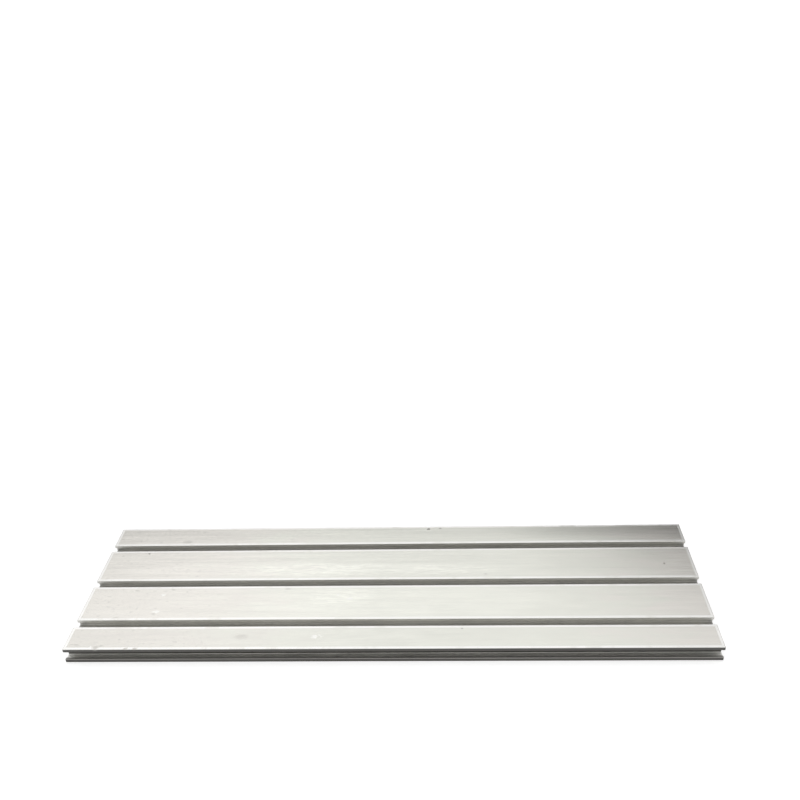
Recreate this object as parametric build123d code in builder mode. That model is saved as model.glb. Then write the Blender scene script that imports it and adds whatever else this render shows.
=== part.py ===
from build123d import *
import os

# T-slot table plate: one length of extruded aluminium, sawn square at both ends.
# The plate lies flat. X runs along its length, Y across it, and Z is up. The origin is at the
# middle of the underside. T-slots open in the top face, a lipped groove runs along each long
# side, and hollow chambers between them keep the plate light. Sizes are in millimetres.

# Outer size
LENGTH = 550
WIDTH = 160
THICKNESS = 15

# T-slots in the top face
SLOT_COUNT = 3
SLOT_PITCH = 50
SLOT_MOUTH = 8
SLOT_LIP = 3
SLOT_CAVITY = 14
SLOT_DEPTH = 8

# Lipped groove along each long side, centred on the thickness
GROOVE_MOUTH = 8
GROOVE_LIP = 2.5
GROOVE_CAVITY = 11
GROOVE_DEPTH = 7.5

# Hollow chambers in the webs between the slots, with a rib down the middle of each wide web
WALL = 3
RIB = 3
CHAMBER_RADIUS = 1.5

# Edge finish: the die rounds every corner of the outline, and the sawn ends are deburred
CORNER_RADIUS = 0.5
END_CHAMFER = 0.3

# Where the slots are, and the webs between them
slot_centres = [SLOT_PITCH * (i - (SLOT_COUNT - 1) / 2) for i in range(SLOT_COUNT)]
web_centres = [y + SLOT_PITCH / 2 for y in slot_centres[:-1]]

# Each wide web holds two chambers, side by side
chamber_height = THICKNESS - 2 * WALL
chamber_width = (SLOT_PITCH - SLOT_CAVITY - 2 * WALL - RIB) / 2
chamber_spacing = chamber_width + RIB

# Each edge strip holds one, between the outer slot and the side groove
edge_chamber_start = slot_centres[-1] + SLOT_CAVITY / 2 + WALL
edge_chamber_end = WIDTH / 2 - GROOVE_DEPTH - WALL
edge_chamber_width = edge_chamber_end - edge_chamber_start
edge_chamber_centre = (edge_chamber_end + edge_chamber_start) / 2


def undercut_slot(mouth, lip, cavity, depth):
    """Section of a slot that is wider inside than at its mouth.

    The middle of the mouth is at the origin, and the slot opens towards +Y.
    """
    with BuildSketch() as slot:
        Rectangle(mouth, depth, align=(Align.CENTER, Align.MAX))
        with Locations((0, -lip)):
            Rectangle(cavity, depth - lip, align=(Align.CENTER, Align.MAX))
    return slot.sketch


t_slot = undercut_slot(SLOT_MOUTH, SLOT_LIP, SLOT_CAVITY, SLOT_DEPTH)
side_groove = undercut_slot(GROOVE_MOUTH, GROOVE_LIP, GROOVE_CAVITY, GROOVE_DEPTH)

with BuildPart() as plate:
    with BuildSketch(Plane.YZ.offset(-LENGTH / 2)) as section:
        Rectangle(WIDTH, THICKNESS, align=(Align.CENTER, Align.MIN))

        # T-slots, open at the top face
        with Locations([(y, THICKNESS) for y in slot_centres]):
            add(t_slot, mode=Mode.SUBTRACT)

        # Side grooves: the same form, turned to open to the right and to the left
        with Locations(
            Location((WIDTH / 2, THICKNESS / 2), -90),
            Location((-WIDTH / 2, THICKNESS / 2), 90),
        ):
            add(side_groove, mode=Mode.SUBTRACT)

        fillet(section.vertices(), CORNER_RADIUS)

        # Chambers, closed all round and open only at the sawn ends
        with Locations([(y, THICKNESS / 2) for y in web_centres]):
            with GridLocations(chamber_spacing, 0, 2, 1):
                RectangleRounded(chamber_width, chamber_height, CHAMBER_RADIUS, mode=Mode.SUBTRACT)
        with Locations([(y, THICKNESS / 2) for y in (-edge_chamber_centre, edge_chamber_centre)]):
            RectangleRounded(edge_chamber_width, chamber_height, CHAMBER_RADIUS, mode=Mode.SUBTRACT)

    extrude(amount=LENGTH)
    sawn_ends = plate.faces().filter_by(Axis.X)
    chamfer(sawn_ends.edges(), END_CHAMFER)

plate.part.label = "t_slot_plate"

os.makedirs("parts", exist_ok=True)
export_step(plate.part, "parts/t_slot_plate.step")
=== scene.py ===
# %% [markdown]
# A T-slot table plate is one length of extruded aluminium, with slots for T-nuts along its top. An
# extrusion has no parts to put together, so all of its looks are in its surface: streaks that the
# die leaves along the metal, bare edges that catch the light, darker sides and deep slots. The
# exact shape comes in as a fixed frame. This file adds the finish, the studio and the camera.

# %% Load the plate
import math

import bpy
from mathutils import Matrix, Vector


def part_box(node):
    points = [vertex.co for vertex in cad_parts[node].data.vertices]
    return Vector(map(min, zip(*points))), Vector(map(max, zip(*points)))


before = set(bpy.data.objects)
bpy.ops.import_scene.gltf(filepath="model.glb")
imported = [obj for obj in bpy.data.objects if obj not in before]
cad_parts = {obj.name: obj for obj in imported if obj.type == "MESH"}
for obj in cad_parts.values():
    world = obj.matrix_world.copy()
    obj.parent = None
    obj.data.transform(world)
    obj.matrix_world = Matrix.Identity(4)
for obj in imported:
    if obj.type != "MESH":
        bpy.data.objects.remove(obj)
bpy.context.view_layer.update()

print("nodes in the frame:", sorted(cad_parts))

# %% [markdown]
# The finish has to know where the slots are. They could be typed in again, but then the pattern
# would slide off the metal as soon as the plate changed. Here they are read from the mesh: the
# corners that lie in the top plane are the two borders of every strip, side by side.

# %% Measure the strips and slots
MM = 0.001
FLATNESS = 0.001 * MM
DIGITS_KEPT = 5

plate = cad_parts["t_slot_plate"]
low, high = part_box("t_slot_plate")

top_corners = [v.co for v in plate.data.vertices if high.z - v.co.z < FLATNESS]
borders = sorted({round(corner.y, DIGITS_KEPT) for corner in top_corners})
strips = list(zip(borders[0::2], borders[1::2]))
front_strip, rear_strip = strips[0], strips[-1]

slots = [(nearer[1] + farther[0]) / 2 for nearer, farther in zip(strips, strips[1:])]
slot_pitch = slots[1] - slots[0]
slot_half = (strips[1][0] - strips[0][1]) / 2

print("plate size in mm:", [round(s / MM, 1) for s in high - low])
print("strips across the top, in mm:", [(round(a / MM, 1), round(b / MM, 1)) for a, b in strips])
print("slot centres in mm:", [round(s / MM, 1) for s in slots])

# %% [markdown]
# The plate is seen from its long side, from above, by a lens near enough to spread the near
# corners. A camera can be pointed with a Track To constraint, but then it can't lean. Three turns
# give the same control as a tripod head: tilt it down, turn it a little, and lean it sideways.

# %% Camera
IMAGE_WIDTH = 800
SENSOR_WIDTH = 36
FOCAL_PIXELS = 853.2
CENTRE_PIXEL = 415

camera_place = Vector((54.0, -586.1, 544.6)) * MM
camera_below_level = math.radians(30.02)
camera_turn = math.radians(2.73)
camera_lean = math.radians(-2.26)

bpy.ops.object.camera_add()
camera = bpy.context.object
camera.name = "studio_camera"
camera.matrix_world = (
    Matrix.Translation(camera_place)
    @ Matrix.Rotation(camera_turn, 4, "Z")
    @ Matrix.Rotation(math.pi / 2 - camera_below_level, 4, "X")
    @ Matrix.Rotation(camera_lean, 4, "Z")
)
camera.data.sensor_width = SENSOR_WIDTH
camera.data.lens = FOCAL_PIXELS / IMAGE_WIDTH * SENSOR_WIDTH
camera.data.shift_x = (IMAGE_WIDTH / 2 - CENTRE_PIXEL) / IMAGE_WIDTH
bpy.context.scene.camera = camera
print("lens in mm:", round(camera.data.lens, 2), "shift:", round(camera.data.shift_x, 4))

# %% [markdown]
# A node tree can be wired by hand in the editor. In a script, each node takes several lines, and
# the pattern gets lost among them. These helpers make a node or a few and hand back the result, so
# that a finish reads like a formula. Many of the feeds are masks: 1 on one kind of place, 0 off it.

# %% Node helpers
def new_material(name):
    """An empty material, its node tree and its output node."""
    material = bpy.data.materials.new(name)
    material.use_nodes = True
    material.node_tree.nodes.clear()
    return material, material.node_tree, material.node_tree.nodes.new("ShaderNodeOutputMaterial")


def add(tree, kind, inputs, **options):
    """Adds a node. Each input takes a number, a colour or another node's socket."""
    node = tree.nodes.new("ShaderNode" + kind)
    for name, option in options.items():
        setattr(node, name, option)
    for name, feed in inputs.items():
        if isinstance(feed, bpy.types.NodeSocket):
            tree.links.new(feed, node.inputs[name])
        else:
            node.inputs[name].default_value = feed
    return node


def calc(tree, operation, *feeds):
    """One step of arithmetic."""
    return add(tree, "Math", dict(enumerate(feeds)), operation=operation).outputs[0]


def product(tree, first, *others):
    """All the feeds multiplied. Masks give the place that they share."""
    result = first
    for feed in others:
        result = calc(tree, "MULTIPLY", result, feed)
    return result


def opposite(tree, mask):
    """0 where the mask is 1, and 1 where it is 0."""
    return calc(tree, "SUBTRACT", 1.0, mask)


def ramp(tree, feed, start, end, before=0.0, after=1.0):
    """Turns a feed that goes from start to end into a smooth step from before to after."""
    inputs = {"Value": feed, "From Min": start, "From Max": end, "To Min": before, "To Max": after}
    return add(tree, "MapRange", inputs, interpolation_type="SMOOTHSTEP").outputs["Result"]


print("helpers: new_material, add, calc, product, opposite, ramp")

# %% Colour helpers
def blend_colour(tree, share, first, second):
    """Goes from the first colour to the second as share goes from 0 to 1."""
    return add(tree, "Mix", {0: share, 6: first, 7: second}, data_type="RGBA").outputs[2]


def brighten(tree, colour, factor):
    """Makes a colour lighter or darker by a factor."""
    feeds = {0: 1.0, 6: colour, 7: factor}
    return add(tree, "Mix", feeds, data_type="RGBA", blend_type="MULTIPLY").outputs[2]


print("helpers: blend_colour, brighten")

# %% [markdown]
# A product picture has a white ground. Turning the lamps up until grey paint burns out would also
# burn out the metal. So the floor is pale paint that gives off a little light of its own, and only
# towards the camera and towards what mirrors it. The plate still throws its shadow on the paint.

# %% Floor
FLOOR_SIZE = 40.0
FLOOR_GREY = 0.85
FLOOR_GLOW = 0.485

bpy.ops.object.select_all(action="DESELECT")
bpy.ops.mesh.primitive_plane_add(size=FLOOR_SIZE)
floor = bpy.context.object
floor.name = "studio_floor"

floor_paint, tree, output = new_material("floor_paint")
rays = add(tree, "LightPath", {}).outputs
seen = rays["Is Camera Ray"]
for mirrored in ("Is Glossy Ray", "Is Transmission Ray"):
    seen = calc(tree, "MAXIMUM", seen, rays[mirrored])
paint = add(tree, "BsdfDiffuse", {"Color": (FLOOR_GREY, FLOOR_GREY, FLOOR_GREY, 1)})
glow = add(tree, "Emission", {"Strength": product(tree, seen, FLOOR_GLOW)})
both = add(tree, "AddShader", {0: paint.outputs[0], 1: glow.outputs[0]})
tree.links.new(both.outputs[0], output.inputs["Surface"])
floor.data.materials.append(floor_paint)
print("floor size in m:", FLOOR_SIZE, "and its glow:", FLOOR_GLOW)

# %% [markdown]
# Metal shows what stands around it, so the room matters more than the lamps. This room is a white
# wall all round with pale cloth above it. High behind the plate is a brighter panel, which the top
# mirrors, and a second one at the left below it. Lower still hang a grey board and, at the right,
# a black flag. They give the far strip and the right end part of their shade. The cloth in front
# is duller, with one lit panel in it, and the slots mirror both. A picture of a real studio would
# do the same, but soft shapes of brightness on the world are lighter to carry and easy to move.

# %% Directions in the tent
world = bpy.data.worlds.new("studio_tent")
bpy.context.scene.world = world
world.use_nodes = True
tent = world.node_tree
look = add(tent, "TexCoord", {}).outputs["Generated"]
_, look_y, look_z = add(tent, "SeparateXYZ", {0: look}).outputs


def sine(angle):
    return math.sin(math.radians(angle))


def cosine(angle):
    return math.cos(math.radians(angle))


def towards(azimuth, elevation):
    """Unit vector to a place on the tent. Azimuth 0 is behind the plate, and 90 to its right."""
    level = cosine(elevation)
    return Vector((sine(azimuth) * level, cosine(azimuth) * level, sine(elevation)))


print("straight behind and halfway up is", tuple(round(c, 2) for c in towards(0, 45)))

# %% Grey board behind the plate
BOARD_LEVEL = 0.3
BOARD_HEIGHTS = (20, 26, 32.5, 38.5)

lower_end, lower_full, upper_full, upper_end = (sine(angle) for angle in BOARD_HEIGHTS)
above_bottom = ramp(tent, look_z, lower_end, lower_full)
below_top = ramp(tent, look_z, upper_end, upper_full)
is_behind = ramp(tent, look_y, start=0.2, end=0.5)
is_board = product(tent, is_behind, product(tent, above_bottom, below_top))
board = calc(tent, "MULTIPLY_ADD", is_board, BOARD_LEVEL - 1, 1.0)
print("board from", BOARD_HEIGHTS[0], "to", BOARD_HEIGHTS[-1], "degrees up")

# %% Cloth and wall of the tent
CLOTH_LEVEL = 0.8
WALL_TOP = 11
WALL_FADE = 3


def round_patch(azimuth, elevation, inner, outer, level):
    """Brightness factor: level within the inner angle, fading to 1 at the outer one."""
    middle = towards(azimuth, elevation)
    facing = add(tent, "VectorMath", {0: look, 1: middle}, operation="DOT_PRODUCT")
    return ramp(tent, facing.outputs["Value"], cosine(outer), cosine(inner), 1.0, level)


patches = {
    "panel": round_patch(azimuth=-8, elevation=52, inner=28, outer=42, level=1 / CLOTH_LEVEL),
    "second panel": round_patch(azimuth=-24, elevation=34.5, inner=8, outer=16, level=1.15),
    "black flag": round_patch(azimuth=22, elevation=27.2, inner=8, outer=15, level=0.0),
    "duller cloth": round_patch(azimuth=180, elevation=20, inner=15, outer=60, level=0.72),
    "lit panel": round_patch(azimuth=193, elevation=38, inner=8, outer=32, level=1.35),
}
brightness = product(tent, CLOTH_LEVEL, board, *patches.values())
wall = ramp(tent, look_z, sine(WALL_TOP + WALL_FADE), sine(WALL_TOP))
brightness = calc(tent, "MULTIPLY_ADD", opposite(tent, brightness), wall, brightness)

background = tent.nodes["Background"]
background.inputs["Color"].default_value = (1, 1, 1, 1)
tent.links.new(brightness, background.inputs["Strength"])
print("on the cloth:", list(patches))

# %% [markdown]
# The tent alone gives no direction, so a large softbox hangs overhead, a little in front and to
# the left. A small strong lamp would burn a white spot into the top when it is seen from above.
# This one is wide and adds only a little to the cloth, as softboxes over a shiny sheet do.

# %% Softbox overhead
SOFTBOX_SIZE = (2.0, 1.4)
SOFTBOX_PLACE = (-0.25, -0.5, 2.2)
SOFTBOX_LEVEL = 0.20

softbox_watts = math.pi * SOFTBOX_SIZE[0] * SOFTBOX_SIZE[1] * SOFTBOX_LEVEL
bpy.ops.object.light_add(type="AREA")
softbox = bpy.context.object
softbox.name = "softbox"
softbox.data.shape = "RECTANGLE"
softbox.data.size, softbox.data.size_y = SOFTBOX_SIZE
softbox.data.energy = softbox_watts
softbox.matrix_world = (
    Matrix.Translation(SOFTBOX_PLACE)
    @ (-Vector(SOFTBOX_PLACE)).to_track_quat("-Z", "Y").to_matrix().to_4x4()
)
print("softbox:", SOFTBOX_SIZE, "m,", round(softbox_watts, 1), "W")

# %% [markdown]
# Mill-finish aluminium is bare metal as it leaves the die. The same streaks run along all of it,
# but its faces differ: the top is bright, the sides and slots are darker by painted shade, the slots
# more matt, the corners are rubbed bare with a painted highlight, and the ends show the saw. Four
# materials would break the streaks at every corner. One material with a mask for each kind of face
# keeps them going round.

# %% Coordinates
metal, tree, output = new_material("mill_finish_aluminium")
coords = add(tree, "TexCoord", {})
place = coords.outputs["Object"]
x, y, z = add(tree, "SeparateXYZ", {0: place}).outputs
normal_x, _, normal_z = add(tree, "SeparateXYZ", {0: coords.outputs["Normal"]}).outputs
from_middle_x, from_middle_y = (calc(tree, "ABSOLUTE", feed) for feed in (x, y))


def along(start, end, before=0.0, after=1.0, feed=x):
    """A ramp along the plate. Start and end are shares of its half length: -1 is the left end."""
    return ramp(tree, feed, start * high.x, end * high.x, before, after)


print("half length and half width in mm:", round(high.x / MM, 1), round(high.y / MM, 1))

# %% Masks for the kinds of face
TOP_ZONE = 1.2 * MM
SIDE_ZONE = 0.6 * MM
GROOVE_ZONE = 8 * MM
LEDGE_START = 4 * MM
LEDGE_FULL = 2.5 * MM

near_top = ramp(tree, z, high.z - 2 * TOP_ZONE, high.z - TOP_ZONE)
is_top = product(tree, near_top, ramp(tree, normal_z, start=0.2, end=0.9))
is_under = ramp(tree, normal_z, start=-0.3, end=-0.9)
is_end = ramp(tree, calc(tree, "ABSOLUTE", normal_x), start=0.5, end=0.9)

is_side = ramp(tree, from_middle_y, high.y - 2 * SIDE_ZONE, high.y - SIDE_ZONE)
is_groove = ramp(tree, from_middle_y, high.y - GROOVE_ZONE - SIDE_ZONE, high.y - GROOVE_ZONE)
faces_up = ramp(tree, normal_z, start=0.1, end=0.7)
is_groove_floor = product(tree, is_groove, faces_up, opposite(tree, near_top))
is_ledge = ramp(tree, from_middle_y, high.y - LEDGE_START, high.y - LEDGE_FULL)
print("masks: top, underside, ends, sides, side grooves, their floors and ledges")

# %% Masks for the slots and chambers
LIP = 3 * MM
CHAMBER_CLEARANCE = 3.8 * MM
SKIN = 1 * MM

chamber_start = slot_half + CHAMBER_CLEARANCE
from_slot = calc(tree, "PINGPONG", y, slot_pitch / 2)
is_slot = ramp(tree, from_slot, chamber_start, chamber_start - SKIN)
is_slot = product(tree, is_slot, opposite(tree, is_top))
is_mouth = ramp(tree, z, high.z - LIP - SKIN / 2, high.z - LIP)

is_chamber = ramp(tree, from_slot, chamber_start - SKIN, chamber_start)
for outer_face, inner_face in ((low.z, low.z + SKIN), (high.z, high.z - SKIN)):
    is_chamber = product(tree, is_chamber, ramp(tree, z, outer_face, inner_face))
is_chamber = product(tree, is_chamber, opposite(tree, calc(tree, "MAXIMUM", is_groove, is_end)))
print("chambers start", round(CHAMBER_CLEARANCE / MM, 1), "mm past the slot mouth")

# %% [markdown]
# Handling polishes the corners of the strips to a bright line, broken where it is knocked, and a
# painted highlight makes that line brighter still. A bevel mask could find corners, but it is slow
# and finds all of them. The borders are known here, so the distance to the nearest one is simple
# arithmetic: a ping-pong folds all the slots onto one. The sawn corners are rubbed and highlighted
# a little further in, and the last half millimetre gets a painted shade.

# %% Rubbed corners with a painted highlight
RUB_HIGHLIGHT_WIDTH = 1.5 * MM
RUB_HIGHLIGHT_FADE = 0.9 * MM
SAWN_RUB_HIGHLIGHT_WIDTH = 2.2 * MM
SAWN_EDGE = 0.7 * MM

corner_radius = high.y - rear_strip[1]


def rubbed_highlight(distance, border, side, width=RUB_HIGHLIGHT_WIDTH):
    """1 at a border, and 0 past the width of the rubbed, highlighted line on the side where the flat
    lies.
    """
    return ramp(tree, distance, border + side * (width + RUB_HIGHLIGHT_FADE), border + side * width)


by_slot = rubbed_highlight(from_slot, slot_half, side=1)
by_side = rubbed_highlight(from_middle_y, high.y - corner_radius, side=-1)
by_end = rubbed_highlight(from_middle_x, high.x, side=-1, width=SAWN_RUB_HIGHLIGHT_WIDTH)
by_border = calc(tree, "MAXIMUM", by_slot, by_side)
is_sawn_edge = ramp(tree, from_middle_x, high.x - SAWN_EDGE, high.x - SAWN_EDGE / 2)
print("rubbed line in mm:", round(RUB_HIGHLIGHT_WIDTH / MM, 2), "radius:", round(corner_radius / MM, 2))

# %% [markdown]
# The die drags along the hot metal and leaves lines along the plate: hair-thin ones, broad ones,
# and cloudy patches where the metal cooled unevenly. Noise that is drawn out along the length
# gives them all. A wave texture would be too regular. The left half and the far strips have been
# handled more, so their streaks show more.

# %% Streaks, grain and clouds
def drawn_noise(length, width, detail=2.0):
    """Noise drawn out along the plate: length and width are about those of one streak."""
    stretch = add(tree, "Mapping", {"Vector": place, "Scale": (1 / length, 1 / width, 1 / width)})
    noise = add(tree, "TexNoise", {"Vector": stretch.outputs[0], "Scale": 1.0, "Detail": detail})
    return noise.outputs["Fac"]


hair_lines = drawn_noise(length=70 * MM, width=0.8 * MM)
fine_streaks = drawn_noise(length=44 * MM, width=1.8 * MM)
broad_streaks = drawn_noise(length=110 * MM, width=5 * MM)
clouds = drawn_noise(length=40 * MM, width=14 * MM, detail=4.0)
grain = drawn_noise(length=3 * MM, width=1.2 * MM, detail=3.0)
print("nodes so far:", len(tree.nodes))

# %% Strength of the streaks
HANDLED_ALONG = (0.6, 1.1)
HANDLED_ACROSS = (0.6, 1.4)
STREAK_STRENGTHS = [(hair_lines, 0.07), (fine_streaks, 0.11), (broad_streaks, 0.13), (grain, 0.12)]
CLOUD_STRENGTH = 0.19


def about_one(*parts):
    """A factor near 1, from noises around 0.5 with the strength of each."""
    total = 1.0
    for noise, strength in parts:
        total = calc(tree, "MULTIPLY_ADD", calc(tree, "SUBTRACT", noise, 0.5), strength, total)
    return total


handled_along = along(0.45, -0.25, *HANDLED_ALONG)
handled_across = ramp(tree, y, low.y, high.y, *HANDLED_ACROSS)
handled = product(tree, handled_along, handled_across)
streaks = [(noise, product(tree, handled, strength)) for noise, strength in STREAK_STRENGTHS]
streak_shade = about_one(*streaks, (clouds, CLOUD_STRENGTH))
print("streak strengths:", [strength for noise, strength in STREAK_STRENGTHS])

# %% [markdown]
# Stock gets knocked and dragged in the rack. Bare metal shows where it was scraped, dirt stays in
# a few pits, and grey smudges and nicks break the bright line of the corners. Some bands are
# scuffed by dragging, and others are lighter, partly polished by it and partly a painted sheen.
# They could be scattered at random, but a real plate has its own few. Each is a soft ball of its own
# size at its own place, and a noise bends all of them, so that none is a neat ellipse. A second
# noise makes the scrapes flaky.

# %% Places of the marks: x, y, length and width in mm
SCRAPES = [
    (-50, -16, 10, 5), (-38, -21, 8, 4), (-62, -66, 14, 7), (-208, -36, 10, 6), (27, -31, 5, 2),
    (-207, -15, 7, 5), (-253, -77, 6, 4),
]
PITS = [
    (248, 23, 2.4, 2.2), (61, -58, 2, 1.4), (31, 76, 5, 3), (42, 77, 4, 2.4), (-237, 42, 3, 2),
]
SMUDGES = [
    (-204, 59, 14, 7), (-247, -78, 9, 6), (-221, -79, 7, 3), (-213, -79, 8, 3), (-265, -75, 8, 3),
    (-243, -76, 6, 3), (-233, -9, 7, 3), (-200, -8, 6, 3), (-242, -43, 8, 3),
    (-210, -39, 7, 3), (-126, -66, 18, 8), (84, 10, 5, 3), (-95, -8, 8, 4), (150, -52, 9, 3),
]
DRAGGED = [(-44, -19, 80, 30), (-75, 17, 190, 26), (40, 16, 150, 18)]
POLISHED_AND_SHEEN = [(-80, 18, 460, 20), (10, -25, 320, 60)]
print("scrapes, pits, smudges:", len(SCRAPES), len(PITS), len(SMUDGES))
print("dragged and polished bands:", len(DRAGGED), len(POLISHED_AND_SHEEN))

# %% Marks
BEND = 3 * MM
BEND_SIZE = 3 * MM
FLAKE_SIZE = 3.5 * MM


def even_noise(size):
    """Noise that is alike in all directions, with patches of about one size."""
    return add(tree, "TexNoise", {"Vector": place, "Scale": 1 / size, "Detail": 2.0})


noise_colour = even_noise(BEND_SIZE).outputs["Color"]
drift = add(tree, "VectorMath", {0: noise_colour, 1: (0.5, 0.5, 0.5)}, operation="SUBTRACT").outputs[0]
bend_feeds = {0: drift, 1: (BEND, BEND, BEND), 2: place}
bent = add(tree, "VectorMath", bend_feeds, operation="MULTIPLY_ADD").outputs[0]


def marks(spots, start, full):
    """Soft spots on the top, from the place and size of each in mm.

    A ball is 0 at its rim and 1 in its middle. Its spot fades in between the levels given.
    """
    total = 0.0
    for spot_x, spot_y, length, width in spots:
        middle = Vector((spot_x * MM, spot_y * MM, high.z))
        scale = Vector((2 / (length * MM), 2 / (width * MM), 2 / (width * MM)))
        ball = add(tree, "Mapping", {"Vector": bent, "Location": -middle * scale, "Scale": scale})
        spot = add(tree, "TexGradient", {"Vector": ball.outputs[0]}, gradient_type="SPHERICAL")
        total = calc(tree, "MAXIMUM", spot.outputs["Fac"], total)
    return ramp(tree, total, start, full)


flakes = ramp(tree, even_noise(FLAKE_SIZE).outputs["Fac"], start=0.42, end=0.54)
scrapes = product(tree, marks(SCRAPES, start=0.1, full=0.6), flakes)
pits = marks(PITS, start=0.2, full=0.6)
smudges = marks(SMUDGES, start=0.0, full=0.8)
dragged = marks(DRAGGED, start=0.0, full=0.7)
polish_and_sheen = marks(POLISHED_AND_SHEEN, start=0.02, full=0.35)
print("nodes so far:", len(tree.nodes))

# %% Breaks in the rubbed line and its painted highlight
breaks = drawn_noise(length=14 * MM, width=30 * MM, detail=3.0)
breaks = ramp(tree, breaks, start=0.3, end=0.5, before=0.5)
unbroken = product(tree, breaks, opposite(tree, smudges))
# The rubbed line is rubbed metal with a painted highlight.
is_rubbed_highlight = calc(tree, "MAXIMUM", product(tree, by_border, unbroken), by_end)
is_rubbed_highlight = product(tree, is_top, is_rubbed_highlight)
print("nodes so far:", len(tree.nodes))

# %% Scuffs where it was dragged, and specks at the left
scuffs = drawn_noise(length=9 * MM, width=1.2 * MM, detail=3.0)
scuffs = product(tree, ramp(tree, scuffs, start=0.4, end=0.65), dragged)

specks = drawn_noise(length=4 * MM, width=2.2 * MM, detail=1.0)
specks = product(tree, ramp(tree, specks, start=0.65, end=0.73), along(-0.4, -0.7))
print("nodes so far:", len(tree.nodes))

# %% [markdown]
# The ends are cut with a round saw, whose teeth leave arcs around the saw's axis. The distance to
# that axis, put through a noise, gives arcs of uneven depth, as a hand-fed saw leaves them.

# %% Saw lines on the ends
SAW_AXIS = (30 * MM, -200 * MM)
SAW_FEED = 1.4 * MM


def squared_distance(feed, axis):
    """How far the feed is from the axis, squared."""
    return calc(tree, "POWER", calc(tree, "SUBTRACT", feed, axis), 2.0)


across, up = squared_distance(y, SAW_AXIS[0]), squared_distance(z, SAW_AXIS[1])
from_axis = calc(tree, "SQRT", calc(tree, "ADD", across, up))
saw_turn = add(tree, "CombineXYZ", {"X": calc(tree, "DIVIDE", from_axis, SAW_FEED)}).outputs[0]
saw_lines = add(tree, "TexNoise", {"Vector": saw_turn, "Scale": 1.0, "Detail": 3.0}).outputs["Fac"]
print("saw axis in mm:", [round(c / MM) for c in SAW_AXIS])

# %% [markdown]
# Bare aluminium is nearly white with a trace of warmth, more so where a thin oxide has formed, here
# at both ends. The top gets its own colour first. The room alone leaves the far strip, the front
# strip and the right end too bright, so the rest of their shade is laid into that colour as painted
# shade, and it stays there under any light. Then the slots get theirs: painted lighter at the mouth
# and darker deeper in, darker towards the rear, and with a painted shade at their ends. Each mask
# lays the colour of its own faces over that of the slots. The sides and groove walls are much
# darker than bare metal, as they look in the picture: a painted shade and a painted dark
# reflection. The groove floors are painted lighter than bare metal, and the ledges less dark than
# the sides. The rubbed corners come near the end, because they are brighter than all around them:
# rubbed metal with a painted highlight.

# %% Colour of the top
TOP_WARM = (0.84, 0.816, 0.768, 1)
TOP_NEUTRAL = (0.834, 0.836, 0.772, 1)
WARM_WANDER = 250 * MM

uneven_x = calc(tree, "MULTIPLY_ADD", calc(tree, "SUBTRACT", clouds, 0.5), WARM_WANDER, x)
warm_left = along(-0.15, -0.75, feed=uneven_x)
warm_right = along(0.6, 1.0, feed=uneven_x)
is_warm = calc(tree, "ADD", warm_left, warm_right)
top_colour = blend_colour(tree, is_warm, TOP_NEUTRAL, TOP_WARM)
print("neutral and warm metal:", TOP_NEUTRAL[:3], TOP_WARM[:3])

# %% Shades of the top
REAR_SHADE = (0.925, 0.70)
FRONT_SHADE = (0.94, 0.98)
RIGHT_SHADE = 0.95
POLISH_AND_SHEEN = 0.05
SCUFF = 0.10
SPECK = 0.10

# Painted shade: the far strip, the front strip and the right end are darkened in the colour itself,
# where the room's reflection leaves them too bright.
rear_level = along(0.2, 0.72, *REAR_SHADE)
rear_shade = ramp(tree, y, rear_strip[0] - slot_half, rear_strip[1] - slot_half, 1.0, rear_level)
front_level = along(-0.9, 0.1, *FRONT_SHADE)
front_shade = ramp(tree, y, strips[1][0], front_strip[1], 1.0, front_level)
right_level = along(0.4, 0.6, 1.0, RIGHT_SHADE)
right_shade = ramp(tree, y, slots[-2], strips[-2][1] - slot_pitch / 2, 1.0, right_level)

top_colour = brighten(tree, top_colour, product(tree, rear_shade, front_shade))
top_colour = brighten(tree, top_colour, right_shade)
# Lighter bands, partly polish and partly painted sheen, then lighter scuffs and darker specks.
for mask, change in ((polish_and_sheen, POLISH_AND_SHEEN), (scuffs, SCUFF), (specks, -SPECK)):
    top_colour = brighten(tree, top_colour, calc(tree, "MULTIPLY_ADD", mask, change, 1.0))
print("shade of the rear strip at its left and right:", REAR_SHADE)

# %% Colour of the slots, with painted light and shade
MOUTH_PAINTED_LIGHT_COLOUR = (0.96, 0.95, 0.905, 1)
SLOT_PAINTED_SHADE_COLOUR = (0.74, 0.732, 0.695, 1)
REAR_SLOT_SHADE = 0.86
SLOT_END_SHADE = 0.72
SLOT_END = 12 * MM

before_slots, past_slots = slots[0] - slot_pitch / 2, slots[-1] + slot_pitch / 2
slot_shade = ramp(tree, y, before_slots, past_slots, 1.0, REAR_SLOT_SHADE)
# Painted shade over the last millimetres of each slot towards the plate's ends.
slot_end_shade = ramp(tree, from_middle_x, high.x - SLOT_END, high.x, 1.0, SLOT_END_SHADE)
# Painted light and shade: lighter at the mouth, darker deeper in the slot.
slot_colour = blend_colour(tree, is_mouth, SLOT_PAINTED_SHADE_COLOUR, MOUTH_PAINTED_LIGHT_COLOUR)
slot_colour = brighten(tree, slot_colour, product(tree, slot_shade, slot_end_shade))
print("the slots darken over their last", round(SLOT_END / MM, 1), "mm")

# %% Colours of the other faces, with painted light and shade
GROOVE_WALL_SHADE_COLOUR = (0.083, 0.0817, 0.077, 1)
GROOVE_FLOOR_LIGHT_COLOUR = (0.96, 0.95, 0.91, 1)
LEDGE_SHADE_COLOUR = (0.42, 0.41, 0.388, 1)
SIDE_SHADE_COLOUR = (0.092, 0.090, 0.085, 1)
CHAMBER_AND_UNDERSIDE_COLOUR = (0.66, 0.65, 0.62, 1)
SAWN_COLOUR = (0.46, 0.454, 0.436, 1)

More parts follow.
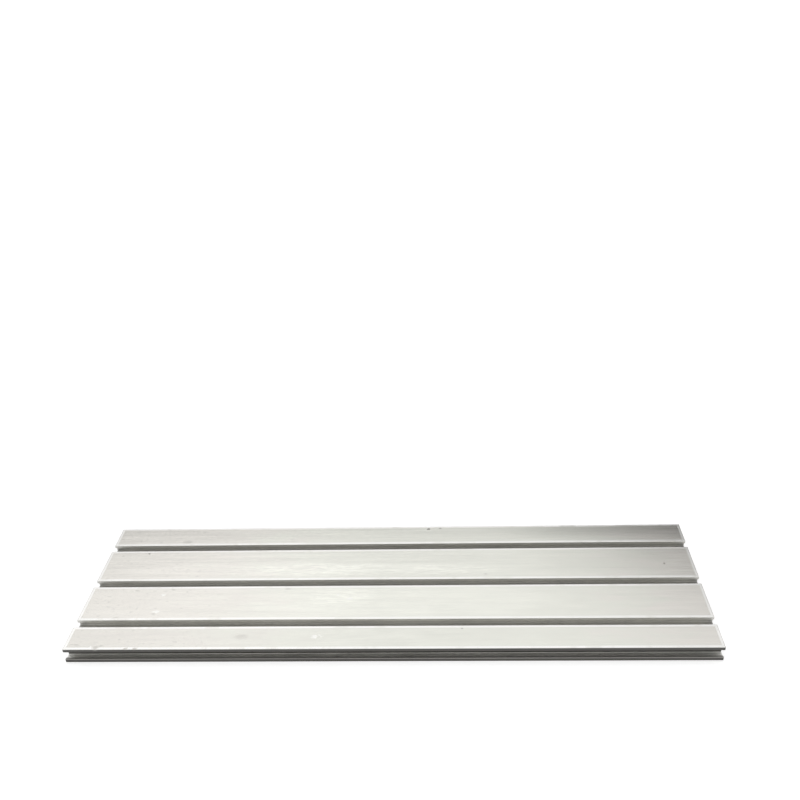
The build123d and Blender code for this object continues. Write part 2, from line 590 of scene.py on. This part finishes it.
# Painted light and shade: groove walls and sides painted dark, the sides also as a painted dark
# reflection; groove floors painted lighter than bare metal, ledges less dark than the sides.
face_layers = [
    (is_groove, GROOVE_WALL_SHADE_COLOUR),
    (is_side, SIDE_SHADE_COLOUR),
    (is_groove_floor, blend_colour(tree, is_ledge, GROOVE_FLOOR_LIGHT_COLOUR, LEDGE_SHADE_COLOUR)),
    # The chambers and the underside are darker than the top.
    (is_chamber, CHAMBER_AND_UNDERSIDE_COLOUR),
    (is_under, CHAMBER_AND_UNDERSIDE_COLOUR),
    (is_top, top_colour),
]
colour = slot_colour
for mask, face_colour in face_layers:
    colour = blend_colour(tree, mask, colour, face_colour)
colour = brighten(tree, colour, streak_shade)
sawn_colour = brighten(tree, SAWN_COLOUR, about_one((saw_lines, 1.0)))
colour = blend_colour(tree, is_end, colour, sawn_colour)
print("layers over the slots:", len(face_layers) + 1)

# %% Colours of the marks, and of the rubbed corners with their painted highlight
SMUDGE_COLOUR = (0.66, 0.64, 0.60, 1)
SMUDGE_STRENGTH = 0.7
RUBBED_HIGHLIGHT_COLOUR = (0.98, 0.975, 0.95, 1)
SCRAPE_STRENGTH = 0.6
SAWN_EDGE_SHADE_COLOUR = (0.60, 0.59, 0.56, 1)
PIT_COLOUR = (0.34, 0.33, 0.31, 1)

# Rubbed corners with their painted highlight, and bare scrapes.
is_bare_and_highlit = calc(tree, "MAXIMUM", is_rubbed_highlight, product(tree, scrapes, SCRAPE_STRENGTH))
mark_layers = [
    (product(tree, smudges, SMUDGE_STRENGTH), SMUDGE_COLOUR),
    (is_bare_and_highlit, RUBBED_HIGHLIGHT_COLOUR),
    # Painted shade on the last half millimetre of the sawn corners.
    (product(tree, is_sawn_edge, is_top), SAWN_EDGE_SHADE_COLOUR),
    (pits, PIT_COLOUR),
]
for mask, mark_colour in mark_layers:
    colour = blend_colour(tree, mask, colour, mark_colour)
print("layers of marks:", len(mark_layers), "and nodes so far:", len(tree.nodes))

# %% [markdown]
# The streaks are real ridges, a few thousandths of a millimetre high. Far too fine for the mesh,
# they still break up reflections, so they go into a bump. Roughness follows the clouds and the
# fine streaks. The sawn ends, the slots and the insides are more matt, as nothing has rubbed them.

# %% Relief
RIDGE = 0.010 * MM
SAW_RIDGE = 0.03 * MM
PIT_DEPTH = 0.10 * MM

ridges = about_one((hair_lines, 0.5), (fine_streaks, 1.0), (broad_streaks, 1.0))
relief = product(tree, ridges, RIDGE)
for mask, height in ((product(tree, is_end, saw_lines), SAW_RIDGE), (pits, -PIT_DEPTH)):
    relief = calc(tree, "MULTIPLY_ADD", mask, height, relief)
bump = add(tree, "Bump", {"Height": relief, "Strength": 1.0, "Distance": 1.0}).outputs[0]
print("ridges, saw ridges and pits in mm:", [round(h / MM, 3) for h in (RIDGE, SAW_RIDGE, PIT_DEPTH)])

# %% Roughness and shader
ROUGHNESS = 0.21
SAWN_MATT = 0.15
INSIDE_MATT = 0.4
SLOT_MATT = 0.3

is_inside = calc(tree, "MAXIMUM", is_chamber, is_groove_floor)
roughness = product(tree, ROUGHNESS, about_one((clouds, 0.5), (fine_streaks, 0.4)))
for mask, added in ((is_end, SAWN_MATT), (is_inside, INSIDE_MATT), (is_slot, SLOT_MATT)):
    roughness = calc(tree, "MULTIPLY_ADD", mask, added, roughness)

finish = {"Base Color": colour, "Metallic": 1.0, "Roughness": roughness, "Normal": bump}
shader = add(tree, "BsdfPrincipled", finish)
tree.links.new(shader.outputs[0], output.inputs["Surface"])
for material_slot in plate.material_slots:
    material_slot.material = metal
print("nodes in the finish:", len(tree.nodes))

# %% [markdown]
# The looks must not change the size of the plate. The Standard view shows each colour about as it
# is written. A film-like view would grey the white floor.

# %% View transform
bpy.context.scene.view_settings.view_transform = "Standard"
